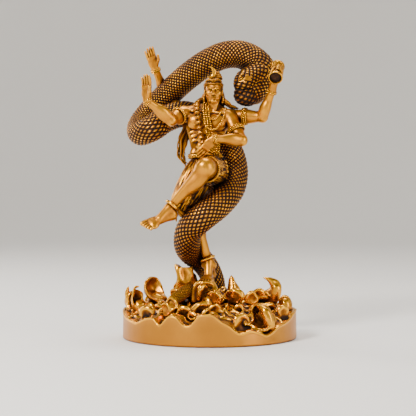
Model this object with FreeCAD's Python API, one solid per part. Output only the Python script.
"""Four-armed dancing figure with a great snake, on a round base of waves.

Cast brass statue, built as separate castings that are pinned and bolted together.
Units are millimetres. The origin is the centre of the base's underside, +X is the
viewer's right, +Y points away from the viewer and +Z is up.
"""
import FreeCAD, Part
import math
import os

V = FreeCAD.Vector

# ---- Driving dimensions -------------------------------------------------------------
BASE_RADIUS = 67.0            # drum outside
DRUM_WALL = 3.2
DRUM_HEIGHT = 25.0            # highest lips of the wavy edge
DECK_TOP = 15.0
DECK_THICKNESS = 3.0
DECK_CLEARANCE = 0.05
LEDGE_WIDTH = 2.5             # of the step inside the wall that the deck rests on
FOOT_ROUNDING = 2.5
UNDERSIDE_RECESS = 2.6        # holds the cover plate and the felt
PLATE_THICKNESS = 1.6
FELT_THICKNESS = 1.0
PLATE_RADIUS = BASE_RADIUS - DRUM_WALL - 1.0
PLATE_CLEARANCE = 0.15
SCREW_RADIUS = 1.5
SCREW_CIRCLE = 55.0
SCREW_LENGTH = 9.0
SCREWS = 4
BOSS_RADIUS = 4.0
SCALLOPS = 15                 # dips round the drum's wavy edge
BED_THICKNESS = 3.5
BED_CENTRE_HEIGHT = 37.0
STUD_RADIUS = 2.5
NUT_ACROSS_FLATS = 8.0
WASHER_RADIUS = 5.5
DOWEL_RADIUS = 1.5
DOWEL_LENGTH = 9.0
DOWEL_CLEARANCE = 0.05
HEAD_HEIGHT = 19.0            # chin to crown, the figure stands about seven and a half heads

# ---- Joint positions of the figure --------------------------------------------------
HEAD_CENTRE = V(2.9, -6.0, 191.9)
NECK_BASE = V(1.8, -3.0, 173.5)
CHEST = V(-2.1, -4.0, 163.8)
WAIST = V(-4.4, -3.0, 143.2)
PELVIS = V(-2.8, -4.0, 130.3)
BUN = V(2.5, -3.0, 203.8)
SHOULDER_RIGHT = V(-20.0, -4.0, 172.0)
SHOULDER_LEFT = V(14.7, -4.0, 169.5)
ELBOW_FRONT_RIGHT = V(-29.0, -17.0, 166.8)
WRIST_FRONT_RIGHT = V(-47.4, -26.0, 181.7)
FINGERTIP_FRONT_RIGHT = V(-47.5, -28.0, 201.0)
ELBOW_REAR_RIGHT = V(-33.0, 37.0, 184.0)
WRIST_REAR_RIGHT = V(-42.5, 24.0, 207.0)
FINGERTIP_REAR_RIGHT = V(-48.0, 20.0, 223.5)
ELBOW_FRONT_LEFT = V(24.0, -15.0, 151.6)
WRIST_FRONT_LEFT = V(2.5, -25.0, 152.6)
FINGERTIP_FRONT_LEFT = V(-9.5, -24.0, 138.5)
ELBOW_REAR_LEFT = V(40.0, -4.0, 169.5)
WRIST_REAR_LEFT = V(47.3, -11.0, 189.0)
DRUM_CENTRE = V(50.5, -15.0, 203.0)
HIP_RAISED = V(4.0, -7.0, 127.5)
KNEE_RAISED = V(-3.4, -33.0, 131.0)
ANKLE_RAISED = V(-29.8, -31.0, 101.0)
TOE_RAISED = V(-49.5, -38.0, 90.6)
HIP_STANDING = V(-7.0, -3.0, 124.0)
KNEE_STANDING = V(-13.0, -7.0, 95.5)
ANKLE_STANDING = V(-0.8, 0.0, 58.5)
SOLE_STANDING = V(0.0, -2.0, 43.0)

# ---- The snake's middle line, from the waves to the neck: x, y, z and radius --------
SNAKE_LINE = [
    (4.9, 5.0, 30.5, 7.5), (3.0, 10.0, 41.7, 8.6), (-1.3, 15.0, 51.4, 9.2),
    (-7.5, 15.0, 59.2, 9.7), (-14.4, 7.0, 65.2, 10.0), (-17.3, -8.0, 73.1, 10.2),
    (-14.9, -19.0, 84.4, 10.4), (-5.1, -24.0, 93.8, 10.6), (7.8, -18.0, 104.1, 10.6),
    (16.6, -6.0, 115.0, 10.5), (19.1, 5.0, 128.5, 10.3), (15.3, 14.0, 143.0, 10.2),
    (4.9, 20.0, 157.0, 10.2), (-7.5, 21.0, 167.3, 10.2), (-19.9, 16.0, 171.6, 10.2),
    (-32.9, 6.0, 168.0, 10.2), (-43.8, -1.0, 160.6, 10.0), (-53.0, 8.0, 157.2, 9.8),
    (-53.2, 22.0, 163.6, 10.0), (-44.0, 29.0, 175.4, 10.2), (-31.5, 29.0, 188.1, 10.2),
    (-17.6, 25.0, 200.5, 10.3), (-2.9, 21.0, 210.8, 10.4), (11.1, 18.0, 217.0, 10.5),
    (24.2, 16.0, 217.4, 10.8), (35.0, 14.0, 211.7, 11.2),
]
# Where one casting of the snake ends and the next begins, as indices into the line.
SNAKE_CASTINGS = {
    "snake_lower": (0, 5),
    "snake_front": (5, 9),
    "snake_back": (9, 14),
    "snake_loop": (14, 19),
    "snake_arch": (19, 25),
}

# ---- Wave crests: foot point, tip point, half-width at the foot, half-depth ----------
WAVE_CRESTS = {
    "crest_left_outer": (V(-52, 8, 19), V(-62, 4, 36), 8.0, 6.0),
    "crest_left_inner": (V(-46, -10, 20), V(-53, -8, 37), 7.5, 6.0),
    "crest_shell": (V(-36, 4, 24), V(-40, -2, 43), 9.5, 7.5),
    "crest_saddle": (V(-24, 12, 28), V(-20, 6, 48.5), 8.5, 6.5),
    "crest_centre_curl": (V(-12, -24, 29), V(-5, -23, 42), 6.5, 6.0),
    "crest_point_right": (V(23, -6, 30), V(17, -4, 44), 6.0, 5.0),
    "crest_hook": (V(44, 8, 21), V(50, 0, 40), 10.0, 6.5),
    "crest_right_bump": (V(53, -6, 18), V(58, -7, 31), 7.0, 6.0),
    "crest_front_left": (V(-27, -44, 20), V(-30, -46, 31), 9.0, 6.0),
    "crest_front_right": (V(30, -38, 21), V(38, -44, 30), 9.0, 6.0),
}


# ---- Geometry helpers ---------------------------------------------------------------
def blend(values, t):
    """Catmull-Rom value at parameter t (0 .. len-1) through rows of equal length."""
    last = len(values) - 1
    i = min(int(t), last - 1)
    u = t - i
    a, b = values[max(i - 1, 0)], values[i]
    c, d = values[i + 1], values[min(i + 2, last)]
    row = []
    for p, q, r, s in zip(a, b, c, d):
        cubic = -p + 3 * q - 3 * r + s
        square = 2 * p - 5 * q + 4 * r - s
        row.append(0.5 * (2 * q + (r - p) * u + square * u * u + cubic * u ** 3))
    return row


def refine(stations, per_span):
    """Stations along a smooth curve, per_span of them between each given pair."""
    spans = len(stations) - 1
    return [blend(stations, i / per_span) for i in range(spans * per_span + 1)]


def tangents(centres):
    result = []
    for i in range(len(centres)):
        ahead = centres[min(i + 1, len(centres) - 1)]
        behind = centres[max(i - 1, 0)]
        result.append((ahead - behind).normalize())
    return result


def section_wire(centre, side, up, half_side, half_up):
    """Closed smooth oval section with half-widths along side and up."""
    count = 10
    points = []
    for k in range(count):
        angle = 2 * math.pi * k / count
        offset = side * (half_side * math.cos(angle)) + up * (half_up * math.sin(angle))
        points.append(centre + offset)
    curve = Part.BSplineCurve()
    curve.interpolate(Points=points, PeriodicFlag=True)
    return Part.Wire([curve.toShape()])


def swept_sections(stations, across):
    """Section wires for (x, y, z, half_side, half_up) rows; across is the side's guide."""
    centres = [V(*row[:3]) for row in stations]
    side = across
    wires = []
    for centre, tangent, row in zip(centres, tangents(centres), stations):
        side = side - tangent * side.dot(tangent)
        side.normalize()
        up = tangent.cross(side)
        wires.append(section_wire(centre, side, up, row[3], row[4]))
    return wires


def with_round_ends(stations, start=True, end=True):
    """Adds shrinking stations past each end, so that a limb closes like a dome."""
    def dome(edge, inner):
        direction = (V(*edge[:3]) - V(*inner[:3])).normalize()
        reach = min(edge[3], edge[4])
        rows = []
        for angle in (35.0, 60.0, 80.0):
            scale = math.cos(math.radians(angle))
            point = V(*edge[:3]) + direction * (reach * math.sin(math.radians(angle)))
            rows.append([point.x, point.y, point.z, edge[3] * scale, edge[4] * scale])
        return rows
    rows = list(stations)
    if start:
        rows = dome(stations[0], stations[1])[::-1] + rows
    if end:
        rows = rows + dome(stations[-1], stations[-2])
    return rows


def limb(stations, across=None, per_span=2, start=True, end=True):
    """Smooth solid through hand-set stations (point, half_side, half_up)."""
    rows = [[p.x, p.y, p.z, a, b] for p, a, b in stations]
    rows = with_round_ends(refine(rows, per_span), start, end)
    guide = V(across) if across else V(1, 0, 0)
    return Part.makeLoft(swept_sections(rows, guide), True, False)


def between(a, b, share):
    return a + (b - a) * share


def ellipsoid(centre, half_x, half_y, half_z):
    ball = Part.makeSphere(1.0)
    matrix = FreeCAD.Matrix()
    matrix.scale(half_x, half_y, half_z)
    matrix.move(centre)
    return ball.transformGeometry(matrix)


def rod(start, end, radius):
    axis = end - start
    return Part.makeCylinder(radius, axis.Length, start, axis)


def ring(centre, axis, radius, thickness):
    """Round band of circular section."""
    return Part.makeTorus(radius, thickness, centre, axis)


def cord(points, radius):
    """Thin round strand of constant thickness along a curve."""
    rows = refine([[p.x, p.y, p.z, radius, radius] for p in points], 2)
    return Part.makeLoft(swept_sections(rows, V(0.3, 1, 0.2)), True, False)


def beads(points, radius):
    """Touching round beads along a curve, each a solid of its own."""
    flat = [[p.x, p.y, p.z] for p in points]
    steps = 40 * (len(points) - 1)
    last = V(*flat[0])
    solids = [Part.makeSphere(radius, last)]
    for i in range(1, steps + 1):
        place = V(*blend(flat, (len(points) - 1) * i / steps))
        if (place - last).Length >= 2.04 * radius:
            solids.append(Part.makeSphere(radius, place))
            last = place
    return Part.makeCompound(solids)


def biggest(shape):
    return max(shape.Solids, key=lambda solid: solid.Volume)


def trim(shape, *tools):
    """The main solid left when the neighbouring pieces are taken out of a shape."""
    for tool in tools:
        shape = biggest(shape.cut(tool))
    return shape


def group(solids):
    return Part.makeCompound(list(solids))


# ---- Base ---------------------------------------------------------------------------
def base_drum():
    """Drum wall with a wavy lip, a ledge for the deck and a recess underneath."""
    body = Part.makeCylinder(BASE_RADIUS, DRUM_HEIGHT)
    foot_edge = [e for e in body.Edges if e.BoundBox.ZMax < 0.1]
    body = body.makeFillet(FOOT_ROUNDING, foot_edge)
    inner = BASE_RADIUS - DRUM_WALL
    sea_room = Part.makeCylinder(inner, DRUM_HEIGHT, V(0, 0, DECK_TOP - DECK_THICKNESS))
    hollow = Part.makeCylinder(inner - LEDGE_WIDTH, DECK_TOP, V(0, 0, UNDERSIDE_RECESS))
    recess = Part.makeCylinder(PLATE_RADIUS + PLATE_CLEARANCE, UNDERSIDE_RECESS)
    body = body.cut(sea_room).cut(hollow).cut(recess)
    for k in range(SCALLOPS):
        body = body.cut(scallop(k))
    return body.removeSplitter()


def base_deck():
    """Disc that rests on the wall's ledge, with a boss below it for each screw."""
    underside = DECK_TOP - DECK_THICKNESS
    radius = BASE_RADIUS - DRUM_WALL - DECK_CLEARANCE
    deck = Part.makeCylinder(radius, DECK_THICKNESS, V(0, 0, underside))
    for k in range(SCREWS):
        boss_place = screw_place(k, UNDERSIDE_RECESS)
        boss = Part.makeCylinder(BOSS_RADIUS, underside - UNDERSIDE_RECESS, boss_place)
        deck = deck.fuse(boss)
    for k in range(SCREWS):
        deck = deck.cut(Part.makeCylinder(SCREW_RADIUS, SCREW_LENGTH, screw_place(k, 0)))
    for start, _ in stud_lines():
        deck = deck.cut(Part.makeCylinder(STUD_RADIUS + 0.2, DECK_TOP, V(start.x, start.y, 1)))
    return deck.removeSplitter()


def screw_place(k, z):
    angle = math.radians(45 + 360 / SCREWS * k)
    return V(SCREW_CIRCLE * math.cos(angle), SCREW_CIRCLE * math.sin(angle), z)


def scallop(k):
    """Radial scoop that leaves one dip in the drum's lip."""
    angle = 2 * math.pi * (k + 0.22 * math.sin(2.3 * k)) / SCALLOPS
    outward = V(math.cos(angle), math.sin(angle), 0)
    radius = 7.5 + 2.5 * math.sin(1.7 * k + 0.6)
    depth = 5.5 + 2.5 * math.sin(2.9 * k)
    start = outward * (BASE_RADIUS - 9) + V(0, 0, DRUM_HEIGHT - depth + radius)
    return Part.makeCylinder(radius, 18, start, outward)


def base_plate():
    plate = Part.makeCylinder(PLATE_RADIUS, PLATE_THICKNESS, V(0, 0, FELT_THICKNESS))
    for k in range(SCREWS):
        plate = plate.cut(screw(k))
    return plate


def felt_pad():
    pad = Part.makeCylinder(PLATE_RADIUS - 1.0, FELT_THICKNESS)
    for k in range(SCREWS):
        pad = pad.cut(Part.makeCylinder(2 * SCREW_RADIUS + 0.4, 3, screw_place(k, -1)))
    return pad


def screw(k):
    """Countersunk screw that holds the cover plate to a boss."""
    head = Part.makeCone(2 * SCREW_RADIUS, SCREW_RADIUS, 1.4, screw_place(k, FELT_THICKNESS))
    shank = Part.makeCylinder(SCREW_RADIUS, SCREW_LENGTH - 1.5, screw_place(k, FELT_THICKNESS))
    return head.fuse(shank)


def base_screws():
    return group(screw(k) for k in range(SCREWS))


def bed_height(x, y):
    """Height of the heaving sea inside the drum."""
    reach = math.hypot(x, y)
    mound = 18.5 + (BED_CENTRE_HEIGHT - 18.5) * math.exp(-(reach / 36.0) ** 2)
    swell = math.sin(x / 7.5 + 0.6 * math.sin(y / 9.0)) * math.cos(y / 8.0 + 0.4)
    return mound + 1.8 * swell * min(1.0, reach / 20.0)


def wave_bed():
    """Sea surface over the deck, hollow inside and bored for the two studs."""
    span = BASE_RADIUS + 3
    count = 19
    grid = []
    for i in range(count):
        x = -span + 2 * span * i / (count - 1)
        ys = [-span + 2 * span * j / (count - 1) for j in range(count)]
        grid.append([V(x, y, bed_height(x, y)) for y in ys])
    surface = Part.BSplineSurface()
    surface.interpolate(grid)
    block = surface.toShape().extrude(V(0, 0, -40))
    rim = BASE_RADIUS - DRUM_WALL - 0.1
    bed = Part.makeCylinder(rim, 60, V(0, 0, DECK_TOP)).common(block)
    hollow = Part.makeCone(rim - 10, 14, BED_CENTRE_HEIGHT - DECK_TOP - 2 * BED_THICKNESS,
                           V(0, 0, DECK_TOP))
    for start, _ in stud_lines():
        boss = Part.makeCylinder(BOSS_RADIUS + 1.5, 40, V(start.x, start.y, DECK_TOP))
        hollow = hollow.cut(boss)
    bed = bed.cut(hollow)
    for start, _ in stud_lines():
        bore = Part.makeCylinder(STUD_RADIUS + 0.1, 60, V(start.x, start.y, 0))
        bed = bed.cut(bore)
    return biggest(bed)


def crest(name, bed):
    """Breaking wave: a flattened horn that rises from its foot and curls at the tip."""
    foot, tip, half_width, half_depth = WAVE_CRESTS[name]
    rise = tip - foot
    bulge = V(-rise.x, -rise.y, 0) * 0.45
    middle = between(foot, tip, 0.5) + bulge
    upper = between(foot, tip, 0.82) + bulge * 0.6
    stations = [
        (foot - V(0, 0, 4), half_width, half_depth),
        (foot, half_width, half_depth),
        (middle, half_width * 0.85, half_depth * 0.7),
        (upper, half_width * 0.6, half_depth * 0.45),
        (tip, half_width * 0.25, half_depth * 0.2),
    ]
    horn = limb(stations, V(1, 0.3, 0), start=False)
    drum_inside = Part.makeCylinder(BASE_RADIUS - DRUM_WALL - 0.2, 80, V(0, 0, DECK_TOP))
    return trim(biggest(horn.common(drum_inside)), bed)


def stud_lines():
    """Lower and upper end of the threaded stud under the foot and under the snake."""
    low = DECK_TOP - DECK_THICKNESS - 6.0
    return [
        (V(0.0, -6.0, low), V(0.0, -6.0, SOLE_STANDING.z + 5.0)),
        (V(6.0, 9.0, low), V(6.0, 9.0, 38.0)),
    ]


def stud(index):
    start, end = stud_lines()[index]
    return rod(start, end, STUD_RADIUS)


def nut(start):
    corners = []
    for k in range(7):
        angle = math.radians(60 * k)
        reach = NUT_ACROSS_FLATS / math.sqrt(3)
        corners.append(V(reach * math.cos(angle), reach * math.sin(angle), 0))
    blank = Part.Face(Part.makePolygon(corners)).extrude(V(0, 0, 3.2))
    blank = blank.cut(Part.makeCylinder(STUD_RADIUS, 3.2))
    blank.translate(V(start.x, start.y, DECK_TOP - DECK_THICKNESS - 1.0 - 3.2))
    return blank


def washer(start):
    place = V(start.x, start.y, DECK_TOP - DECK_THICKNESS - 1.0)
    disc = Part.makeCylinder(WASHER_RADIUS, 1.0, place)
    return disc.cut(Part.makeCylinder(STUD_RADIUS + 0.15, 1.0, place))


# ---- Snake --------------------------------------------------------------------------
def snake_castings():
    """The body's castings, cut from one line so that neighbours share an end face."""
    per_span = 2
    rows = [[x, y, z, r, r] for x, y, z, r in SNAKE_LINE]
    wires = swept_sections(refine(rows, per_span), V(1, 0, 0))
    parts = {}
    for name, (first, last) in SNAKE_CASTINGS.items():
        run = wires[first * per_span:last * per_span + 1]
        parts[name] = Part.makeLoft(run, True, False)
    return parts


def snake_line_point(index):
    return V(*SNAKE_LINE[index][:3])


def snake_joint_pins(radius, extra=0.0):
    """Dowels across each joint between castings, lying along the body."""
    pins = []
    for first, last in list(SNAKE_CASTINGS.values())[:-1]:
        before, middle, after = (snake_line_point(last + k) for k in (-1, 0, 1))
        along = (after - before).normalize() * (DOWEL_LENGTH / 2 + extra)
        pins.append(rod(middle - along, middle + along, radius))
    return pins


def snake_hood():
    """Spread neck that hangs from the arch, broad across and shallow in depth."""
    x, y, z, r = SNAKE_LINE[-1]
    stations = [
        (V(x, y, z), r, r),
        (V(39.5, 11.5, 204.5), 13.0, 11.0),
        (V(36.8, 8.0, 195.0), 14.5, 10.5),
        (V(32.0, 5.0, 186.5), 14.0, 9.5),
        (V(28.5, 4.0, 179.5), 9.5, 7.0),
    ]
    return limb(stations, V(1, 0, 0.4), start=False)


def snake_head():
    """Blunt head that looks down towards the figure's face."""
    stations = [
        (V(37.0, 6.0, 200.5), 9.0, 9.0),
        (V(30.0, 1.0, 196.5), 9.6, 9.4),
        (V(23.5, -3.0, 192.6), 7.6, 7.6),
        (V(19.6, -5.0, 190.0), 4.6, 4.4),
    ]
    return limb(stations, V(0, 1, 0))


def snake_tail():
    """Tail that breaks the surface in front of the standing foot."""
    stations = [
        (V(4.0, -10.0, 30.0), 5.6, 5.6),
        (V(-7.5, -15.0, 36.0), 5.0, 5.0),
        (V(-17.0, -21.0, 37.5), 4.2, 4.2),
        (V(-26.0, -29.0, 33.0), 3.2, 3.2),
        (V(-33.0, -33.0, 25.0), 2.2, 2.2),
    ]
    return limb(stations, V(0, 0, 1))


# ---- Figure -------------------------------------------------------------------------
def torso():
    stations = [
        (PELVIS - V(0, 0, 9), 8.5, 7.0),
        (PELVIS - V(0, 0, 3), 11.5, 9.2),
        (between(PELVIS, WAIST, 0.45), 11.2, 9.0),
        (WAIST, 9.8, 7.6),
        (between(WAIST, CHEST, 0.5), 13.0, 9.4),
        (CHEST, 16.2, 10.6),
        (CHEST + V(0.8, 0.6, 6.0), 15.8, 9.4),
        (NECK_BASE - V(1.0, 0, 0.6), 9.0, 6.2),
    ]
    return limb(stations, V(1, 0, 0), start=True, end=True)


def head(body):
    skull = ellipsoid(HEAD_CENTRE, 0.34 * HEAD_HEIGHT, 0.41 * HEAD_HEIGHT, HEAD_HEIGHT / 2)
    neck = rod(NECK_BASE, HEAD_CENTRE - V(0, -1.5, 4), 4.4)
    nose = ellipsoid(HEAD_CENTRE + V(0.2, -7.6, -1.4), 1.3, 1.6, 2.6)
    return trim(skull.fuse(neck).fuse(nose), body)


def hair_topknot(skull):
    """Coiled locks on the crown with a bun above them."""
    crown = HEAD_CENTRE + V(0, 1.2, 0.34 * HEAD_HEIGHT)
    cap = ellipsoid(crown, 7.2, 7.6, 5.0)
    band = ring(crown + V(0, 0, -1.0), V(0, -0.25, 1), 6.6, 1.4)
    bun = ellipsoid(BUN, 4.2, 4.6, 3.6)
    return trim(cap.fuse(band).fuse(bun), skull)


def crescent_moon(hair):
    outer = Part.makeCylinder(4.4, 1.6, V(0, 0, -0.8), V(0, 0, 1))
    inner = Part.makeCylinder(3.9, 2.4, V(1.5, 0.9, -1.2), V(0, 0, 1))
    moon = outer.cut(inner)
    moon.rotate(V(0, 0, 0), V(1, 0, 0), 90)
    moon.rotate(V(0, 0, 0), V(0, 1, 0), -55)
    moon.translate(BUN + V(-5.4, -3.4, -0.6))
    return trim(moon, hair)


def hair_back(skull, body):
    """Locks that fall behind the neck and over the shoulder blades."""
    stations = [
        (HEAD_CENTRE + V(0, 5.5, 5.0), 6.0, 3.4),
        (HEAD_CENTRE + V(-0.5, 6.5, -6.0), 8.5, 3.6),
        (V(-2.0, 6.0, 175.0), 13.0, 3.6),
        (V(-5.0, 7.5, 163.0), 13.5, 3.0),
        (V(-7.0, 6.5, 150.0), 9.0, 2.4),
    ]
    return trim(limb(stations, V(1, 0, 0)), skull, body)


def hair_locks(body):
    """Loose locks, one hanging beside the ribs and one over the far shoulder."""
    right = limb([
        (V(-15.5, 4.0, 170.0), 3.2, 2.4),
        (V(-20.0, 3.0, 158.0), 3.4, 2.2),
        (V(-22.5, 2.0, 146.0), 2.6, 1.8),
        (V(-17.5, 1.0, 134.0), 1.3, 1.2),
    ])
    left = limb([
        (V(10.5, -1.0, 181.0), 2.2, 2.0),
        (V(14.5, 1.0, 177.0), 2.8, 2.2),
        (V(20.5, 1.0, 175.0), 1.6, 1.4),
    ], V(0, 0, 1))
    return group([trim(right, body), trim(left, body)])


def arm(shoulder, elbow, wrist, bulk=1.0):
    """Bent arm casting, full at the shoulder and forearm and slim at the wrist."""
    stations = [
        (shoulder, 5.6 * bulk, 5.6 * bulk),
        (between(shoulder, elbow, 0.45), 5.2 * bulk, 5.2 * bulk),
        (between(shoulder, elbow, 0.88), 4.2 * bulk, 4.2 * bulk),
        (between(elbow, wrist, 0.16), 4.4 * bulk, 4.4 * bulk),
        (between(elbow, wrist, 0.5), 3.9 * bulk, 3.9 * bulk),
        (wrist, 2.6, 2.6),
    ]
    return limb(stations, V(0.2, 0.3, 1), end=False)


def hand(wrist, tip, palm_side, curl=0.0, spread=0.16):
    """Open hand with four fingers and a thumb; palm_side points across the palm."""
    reach = tip - wrist
    along = V(reach).normalize()
    across = V(palm_side)
    across = (across - along * across.dot(along)).normalize()
    facing = along.cross(across)
    length = reach.Length
    palm_end = wrist + along * (0.52 * length)
    shape = limb([
        (wrist, 2.6, 2.4),
        (between(wrist, palm_end, 0.4), 3.5, 2.0),
        (palm_end, 3.7, 1.6),
    ], across, start=False)
    for k in range(4):
        offset = (k - 1.5) * 1.75
        root = palm_end + across * offset - along * 1.2
        finger = length * (0.5 - 0.045 * abs(k - 1.3))
        bend = facing * (curl * finger)
        end = root + along * finger + across * (offset * spread) + bend
        middle = between(root, end, 0.5) - bend * 0.25
        shape = shape.fuse(limb([(root, 0.95, 0.95), (middle, 0.9, 0.9), (end, 0.7, 0.7)], facing))
    thumb_root = between(wrist, palm_end, 0.35) - across * 2.6
    thumb_end = thumb_root + along * (0.36 * length) - across * 2.0 + facing * 1.5
    thumb = limb([(thumb_root, 1.2, 1.2), (thumb_end, 0.85, 0.85)], facing, per_span=3)
    return shape.fuse(thumb)


def gripping_hand(wrist, centre, barrel):
    """Closed hand round the waist of the small drum."""
    along = (centre - wrist).normalize()
    shape = limb([
        (wrist, 2.6, 2.5),
        (between(wrist, centre, 0.45), 3.6, 2.8),
        (between(wrist, centre, 0.75), 3.2, 2.6),
    ], V(1, 0, 0), start=False)
    for k in range(4):
        lift = between(wrist, centre, 0.62) + V(-2.6 + 1.7 * k, -2.5, 0.4 * k)
        knuckle = lift + along * 4.0 + V(0, -1.6, 0)
        end = lift + along * 7.4 + V(0, 1.4, 0)
        shape = shape.fuse(limb([(lift, 1.0, 1.0), (knuckle, 1.0, 1.0), (end, 0.8, 0.8)]))
    return trim(shape, barrel)


def damaru_axis():
    return V(0.12, 0.80, 0.50).normalize()


def damaru_body():
    """Hourglass drum with a rim at each end."""
    axis = damaru_axis()
    rows = [(-9.0, 5.0), (-8.0, 5.3), (-6.5, 4.6), (-2.5, 2.8), (0.0, 2.3),
            (2.5, 2.8), (6.5, 4.6), (8.0, 5.3), (9.0, 5.0)]
    wires = []
    for position, radius in rows:
        circle = Part.Circle(DRUM_CENTRE + axis * position, axis, radius)
        wires.append(Part.Wire([circle.toShape()]))
    return Part.makeLoft(wires, True, False).cut(group(damaru_skin_blanks(0.0)))


def damaru_skin_blanks(clearance):
    axis = damaru_axis()
    blanks = []
    for way in (-1, 1):
        outer = DRUM_CENTRE + axis * (way * 9.2)
        inner = DRUM_CENTRE + axis * (way * 7.6)
        blanks.append(rod(inner, outer, 4.2 - clearance))
    return blanks


def damaru_skins():
    axis = damaru_axis()
    skins = []
    for way in (-1, 1):
        outer = DRUM_CENTRE + axis * (way * 8.4)
        inner = DRUM_CENTRE + axis * (way * 7.6)
        skins.append(rod(inner, outer, 4.2))
    return group(skins)


def leg_raised(body):
    stations = [
        (HIP_RAISED, 8.8, 8.6),
        (between(HIP_RAISED, KNEE_RAISED, 0.45), 8.6, 8.4),
        (between(HIP_RAISED, KNEE_RAISED, 0.85), 7.2, 7.2),
        (between(KNEE_RAISED, ANKLE_RAISED, 0.10) + V(0, -0.5, 0), 6.6, 6.6),
        (between(KNEE_RAISED, ANKLE_RAISED, 0.38) + V(1.0, 1.5, -1.0), 6.4, 6.2),
        (between(KNEE_RAISED, ANKLE_RAISED, 0.72), 4.3, 4.2),
        (ANKLE_RAISED, 3.2, 3.2),
    ]
    return trim(limb(stations, V(0, 0, 1), end=False), body)


def leg_standing(body):
    stations = [
        (HIP_STANDING, 8.6, 8.6),
        (between(HIP_STANDING, KNEE_STANDING, 0.5), 7.8, 7.8),
        (KNEE_STANDING, 6.0, 6.2),
        (between(KNEE_STANDING, ANKLE_STANDING, 0.35) + V(0, 1.5, 0), 5.8, 6.0),
        (between(KNEE_STANDING, ANKLE_STANDING, 0.75), 3.9, 4.0),
        (ANKLE_STANDING, 3.3, 3.4),
    ]
    return trim(limb(stations, V(1, 0, 0), end=False), body)


def foot(ankle, heel, ball, toe, leg):
    """Bare foot from the ankle down to the toes, with the five toes in front."""
    along = (toe - heel).normalize()
    shape = limb([
        (ankle, 3.2, 3.2),
        (between(ankle, heel, 0.55), 3.4, 3.6),
        (heel, 3.0, 3.2),
    ], V(0, 0, 1), start=False)
    arch = limb([
        (heel, 2.9, 3.0),
        (between(heel, ball, 0.5) + V(0, 0, 0.8), 3.2, 3.6),
        (ball, 2.2, 4.4),
    ], V(0, 0, 1))
    shape = shape.fuse(arch)
    sideways = along.cross(V(0, 0, 1)).normalize()
    for k in range(5):
        offset = sideways * ((k - 2) * 1.75)
        thickness = 1.35 if k == 4 else 0.95
        end = toe + offset - along * (0.5 * (4 - k))
        shape = shape.fuse(limb([(ball + offset, thickness, thickness),
                                 (end, thickness * 0.85, thickness * 0.85)],
                                V(0, 0, 1), per_span=3))
    return trim(shape, leg)


def tiger_skin(body, raised, standing):
    """Wrapped skin round the hips and the raised thigh, a skin-thick shell."""
    hips = limb([
        (PELVIS + V(0.5, 0, 7.5), 12.2, 10.0),
        (PELVIS + V(1.0, 0, 1.0), 13.8, 11.6),
        (PELVIS + V(0.5, 0, -8.0), 13.6, 11.6),
        (PELVIS + V(-1.5, 1.0, -16.0), 12.4, 10.6),
    ], V(1, 0, 0), start=False, end=False)
    thigh = limb([
        (HIP_RAISED + V(0, 2, 0), 10.6, 10.2),
        (between(HIP_RAISED, KNEE_RAISED, 0.4), 10.2, 9.8),
        (between(HIP_RAISED, KNEE_RAISED, 0.68), 9.4, 9.0),
    ], V(0, 0, 1), start=False, end=False)
    return trim(hips.fuse(thigh), body, raised, standing)


def skin_drape(raised, standing, wrap):
    """Free end of the skin, hanging in folds behind the raised shin."""
    stations = [
        (V(-9.0, -9.0, 122.0), 9.0, 3.2),
        (V(-13.5, -12.0, 113.0), 9.5, 3.4),
        (V(-19.5, -15.0, 103.0), 7.5, 3.4),
        (V(-24.5, -17.0, 95.0), 4.0, 2.6),
    ]
    return trim(limb(stations, V(1, 0, 0.4)), raised, standing, wrap)


def waist_belt():
    """Beaded belt above the wrapped skin."""
    centre = V(PELVIS.x - 0.8, PELVIS.y + 0.2, PELVIS.z + 9.0)
    loop = []
    for k in range(17):
        angle = 2 * math.pi * k / 16
        loop.append(centre + V(12.4 * math.cos(angle), 10.2 * math.sin(angle), 0))
    return beads(loop, 1.25)


def draped_loop(centre, half_width, depth, drop, turns=14):
    """Closed curve that circles the neck and sags in front."""
    points = []
    for k in range(turns):
        angle = math.pi / 2 + 2 * math.pi * k / turns
        front = max(0.0, -math.sin(angle))
        sag = drop * front ** 1.5
        points.append(centre + V(half_width * math.cos(angle),
                                 depth * math.sin(angle) - 0.25 * sag, -sag))
    return points


def necklaces():
    """Two plain chains, a short one and a longer one that reaches the breast."""
    rings = []
    for half_width, depth, drop in ((7.0, 7.4, 7.5), (9.8, 9.4, 14.5)):
        loop = draped_loop(NECK_BASE + V(0.4, -0.6, 2.4), half_width, depth, drop)
        rings.append(cord(loop, 0.8))
    return group(rings)


def rudraksha_mala():
    """Long garland of large seeds from the right shoulder to the waist."""
    points = [V(-8.5, 2.0, 178.5), V(-9.5, -4.0, 179.5), V(-9.8, -11.5, 174.0),
              V(-8.0, -16.0, 165.0), V(-6.4, -15.8, 156.0), V(-4.2, -13.6, 149.0),
              V(-1.6, -12.6, 143.5)]
    return beads(points, 2.1)


def bead_strands():
    """Finer strands of small beads beside the garland."""
    strands = []
    for k in range(2):
        shift = V(4.6 + 2.3 * k, 0.3, 0)
        points = [V(-9.0, -5.5, 178.0), V(-9.0, -12.4, 173.0), V(-7.6, -16.0, 164.0),
                  V(-6.0, -15.6, 156.0), V(-4.4, -13.6, 149.0)]
        strands.append(beads([p + shift for p in points], 0.95))
    return group(strands)


def band_on(start, end, share, radius, thickness):
    """Round bangle set square to a limb, at a share of the way along it."""
    return ring(between(start, end, share), end - start, radius, thickness)


def earrings(skull):
    """A hoop below each ear."""
    hoops = []
    for way in (-1, 1):
        place = HEAD_CENTRE + V(way * 0.37 * HEAD_HEIGHT, 0.8, -0.26 * HEAD_HEIGHT)
        hoops.append(trim(ring(place, V(1, 0.2 * way, 0), 1.7, 0.55), skull))
    return group(hoops)


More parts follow.
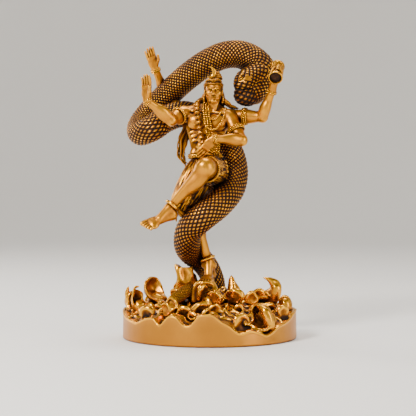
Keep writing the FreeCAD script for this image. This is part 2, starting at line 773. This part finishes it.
def arm_joint_pins(radius, extra=0.0):
    """Dowels that join the four arms to the shoulders."""
    pairs = [(SHOULDER_RIGHT, V(-12, -4, 168)), (SHOULDER_LEFT, V(8, -4, 167)),
             (SHOULDER_RIGHT + V(1, 6, -3), V(-12, 0, 166)),
             (SHOULDER_LEFT + V(1, 5, -1), V(8, 0, 166))]
    pins = []
    for outer, inner in pairs:
        along = (outer - inner).normalize() * extra
        pins.append(rod(inner - along, outer + along, radius))
    return pins


# ---- Assembly -----------------------------------------------------------------------
def build_base():
    bed = wave_bed()
    parts = {
        "base_drum": base_drum(),
        "base_deck": base_deck(),
        "base_plate": base_plate(),
        "felt_pad": felt_pad(),
        "base_screws": base_screws(),
        "figure_stud": stud(0),
        "snake_stud": stud(1),
        "stud_nuts": group(nut(start) for start, _ in stud_lines()),
        "stud_washers": group(washer(start) for start, _ in stud_lines()),
        "wave_bed": bed,
    }
    for name in WAVE_CRESTS:
        parts[name] = crest(name, bed)
    return parts


def build_snake(bed, standing_leg, standing_foot):
    parts = snake_castings()
    holes = snake_joint_pins(DOWEL_RADIUS + DOWEL_CLEARANCE, DOWEL_CLEARANCE)
    names = list(SNAKE_CASTINGS)
    for k, hole in enumerate(holes):
        for name in (names[k], names[k + 1]):
            parts[name] = biggest(parts[name].cut(hole))
    lower = parts["snake_lower"]
    parts["snake_lower"] = trim(lower, bed, stud(1), standing_foot, standing_leg)
    parts["snake_dowels"] = group(snake_joint_pins(DOWEL_RADIUS))
    parts["snake_head"] = snake_head()
    parts["snake_hood"] = trim(snake_hood(), parts["snake_head"])
    parts["snake_tail"] = trim(snake_tail(), bed, standing_foot)
    return parts


def build_arms(body):
    sleeves = {
        "arm_front_right": arm(SHOULDER_RIGHT, ELBOW_FRONT_RIGHT, WRIST_FRONT_RIGHT),
        "arm_rear_right": arm(SHOULDER_RIGHT + V(4, 7, -3), ELBOW_REAR_RIGHT,
                              WRIST_REAR_RIGHT, 0.92),
        "arm_front_left": arm(SHOULDER_LEFT, ELBOW_FRONT_LEFT, WRIST_FRONT_LEFT),
        "arm_rear_left": arm(SHOULDER_LEFT + V(-1, 6, 0), ELBOW_REAR_LEFT, WRIST_REAR_LEFT),
    }
    parts = {}
    placed = [body]
    for name, shape in sleeves.items():
        parts[name] = trim(shape, *placed)
        placed.append(shape)
    return parts


def build_hands(barrel):
    return {
        "hand_front_right": hand(WRIST_FRONT_RIGHT, FINGERTIP_FRONT_RIGHT, V(0.6, 0.6, 0)),
        "hand_rear_right": hand(WRIST_REAR_RIGHT, FINGERTIP_REAR_RIGHT, V(1, 0.3, 0)),
        "hand_front_left": hand(WRIST_FRONT_LEFT, FINGERTIP_FRONT_LEFT, V(0.8, -0.3, -0.6),
                                0.15, 0.05),
        "hand_rear_left": gripping_hand(WRIST_REAR_LEFT, DRUM_CENTRE, barrel),
    }


def build_ornaments(skull):
    wrists = [(ELBOW_FRONT_RIGHT, WRIST_FRONT_RIGHT), (ELBOW_REAR_RIGHT, WRIST_REAR_RIGHT),
              (ELBOW_FRONT_LEFT, WRIST_FRONT_LEFT), (ELBOW_REAR_LEFT, WRIST_REAR_LEFT)]
    uppers = [(SHOULDER_RIGHT, ELBOW_FRONT_RIGHT), (SHOULDER_LEFT, ELBOW_FRONT_LEFT),
              (SHOULDER_LEFT + V(-1, 6, 0), ELBOW_REAR_LEFT)]
    bangle = 0.8
    return {
        "necklaces": necklaces(),
        "rudraksha_mala": rudraksha_mala(),
        "bead_strands": bead_strands(),
        "waist_belt": waist_belt(),
        "earrings": earrings(skull),
        "wrist_bracelets": group(band_on(a, b, 0.95, 2.9 + bangle, bangle) for a, b in wrists),
        "armlets": group(band_on(a, b, 0.5, 5.2 + bangle, bangle) for a, b in uppers),
        "anklets": group([band_on(KNEE_RAISED, ANKLE_RAISED, 0.97, 4.6, 1.1),
                          band_on(KNEE_STANDING, ANKLE_STANDING, 0.97, 4.6, 1.1)]),
    }


def build_figure():
    body = torso()
    skull = head(body)
    hair = hair_topknot(skull)
    raised = leg_raised(body)
    standing = trim(leg_standing(body), raised)
    wrap = tiger_skin(body, raised, standing)
    barrel = damaru_body()
    parts = build_arms(body)
    parts.update(build_hands(barrel))
    parts.update(build_ornaments(skull))
    holes = arm_joint_pins(DOWEL_RADIUS + DOWEL_CLEARANCE, DOWEL_CLEARANCE)
    for hole in holes:
        body = biggest(body.cut(hole))
    for name in ("arm_front_right", "arm_rear_right", "arm_front_left", "arm_rear_left"):
        parts[name] = trim(parts[name], *holes)
    raised_heel = ANKLE_RAISED + V(0.5, 2.0, -6.0)
    raised_ball = between(raised_heel, TOE_RAISED, 0.72)
    standing_heel = SOLE_STANDING + V(0.0, 6.5, 3.4)
    standing_toe = SOLE_STANDING + V(-1.0, -15.0, 1.4)
    standing_ball = between(standing_heel, standing_toe, 0.68)
    standing_foot = foot(ANKLE_STANDING, standing_heel, standing_ball, standing_toe, standing)
    parts.update({
        "torso": body,
        "head": skull,
        "hair_topknot": hair,
        "crescent_moon": crescent_moon(hair),
        "hair_back": hair_back(skull, body),
        "hair_locks": hair_locks(body),
        "leg_raised": raised,
        "foot_raised": foot(ANKLE_RAISED, raised_heel, raised_ball, TOE_RAISED, raised),
        "leg_standing": standing,
        "foot_standing": trim(standing_foot, stud(0)),
        "tiger_skin": wrap,
        "skin_drape": skin_drape(raised, standing, wrap),
        "damaru_body": barrel,
        "damaru_skins": damaru_skins(),
        "arm_dowels": group(arm_joint_pins(DOWEL_RADIUS)),
    })
    return parts


def main():
    os.makedirs("parts", exist_ok=True)
    parts = build_figure()
    parts.update(build_base())
    parts.update(build_snake(parts["wave_bed"], parts["leg_standing"], parts["foot_standing"]))
    for name, shape in sorted(parts.items()):
        shape.exportStep("parts/" + name + ".step")


main()
